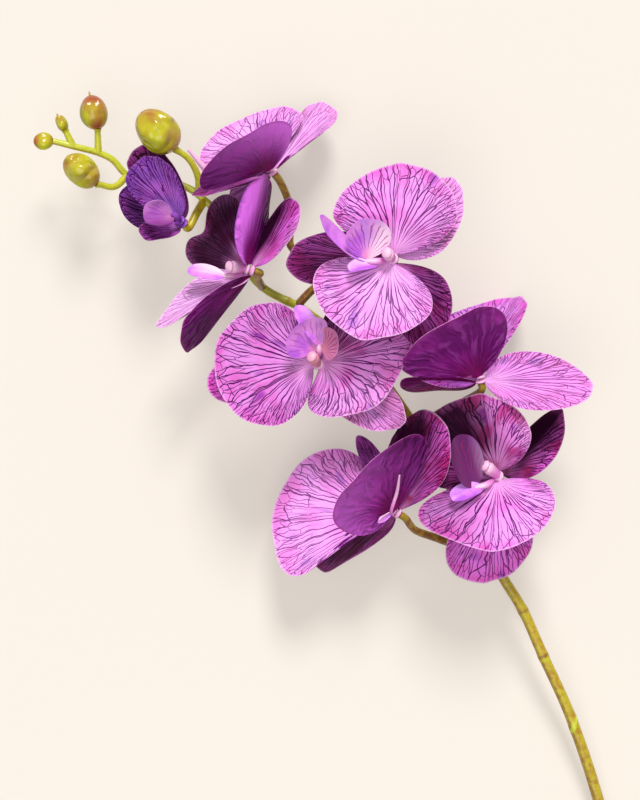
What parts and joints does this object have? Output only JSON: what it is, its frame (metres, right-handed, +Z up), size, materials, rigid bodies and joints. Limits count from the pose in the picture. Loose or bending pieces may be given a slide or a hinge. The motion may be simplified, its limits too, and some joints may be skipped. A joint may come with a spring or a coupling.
{
  "type": "orchid spray",
  "caption": "Cut moth orchid spray lying flat: a slender arching stem with stalked open blooms in veined pink-violet, a half-open bloom and closed green buds.",
  "frame": {"origin": "middle of the footprint's bounding box, on the table", "axes": "+Z up from the table, +Y along the spray towards its tip, +X towards the side where the cut end of the stem lies"},
  "size_m": [0.2871, 0.4144, 0.0867],
  "materials": {
    "petal": "satin, fine dark veins on the front, deep violet back",
    "sepal": "satin, dark veins on the front, deep violet back",
    "lip": "waxy lilac, dark red stripes by the throat",
    "column": "waxy, pale pink with a white cap",
    "bud": "glossy yellow-green",
    "stem": "semi-gloss olive green with brown patches"
  },
  "bodies": {
    "root": {"bloom_1_petals": "petal", "bloom_1_sepals": "sepal", "bloom_1_column": "column", "bloom_1_lip": "lip", "bloom_2_petals": "petal", "bloom_2_sepals": "sepal", "bloom_2_column": "column", "bloom_2_lip": "lip", "bloom_3_petals": "petal", "bloom_3_sepals": "sepal", "bloom_3_column": "column", "bloom_3_lip": "lip", "bloom_4_petals": "petal", "bloom_4_sepals": "sepal", "bloom_4_column": "column", "bloom_4_lip": "lip", "bloom_5_petals": "petal", "bloom_5_sepals": "sepal", "bloom_5_column": "column", "bloom_5_lip": "lip", "bloom_6_petals": "petal", "bloom_6_sepals": "sepal", "bloom_6_column": "column", "bloom_6_lip": "lip", "bloom_7_petals": "petal", "bloom_7_sepals": "sepal", "bloom_7_column": "column", "bloom_7_lip": "lip", "bloom_8_petal": "petal", "bloom_8_sepals": "sepal", "bloom_8_lip": "lip", "bud_1": "bud", "bud_2": "bud", "bud_3": "bud", "bud_4": "bud", "bud_5": "bud", "stem": "stem"}
  },
  "joints": []
}
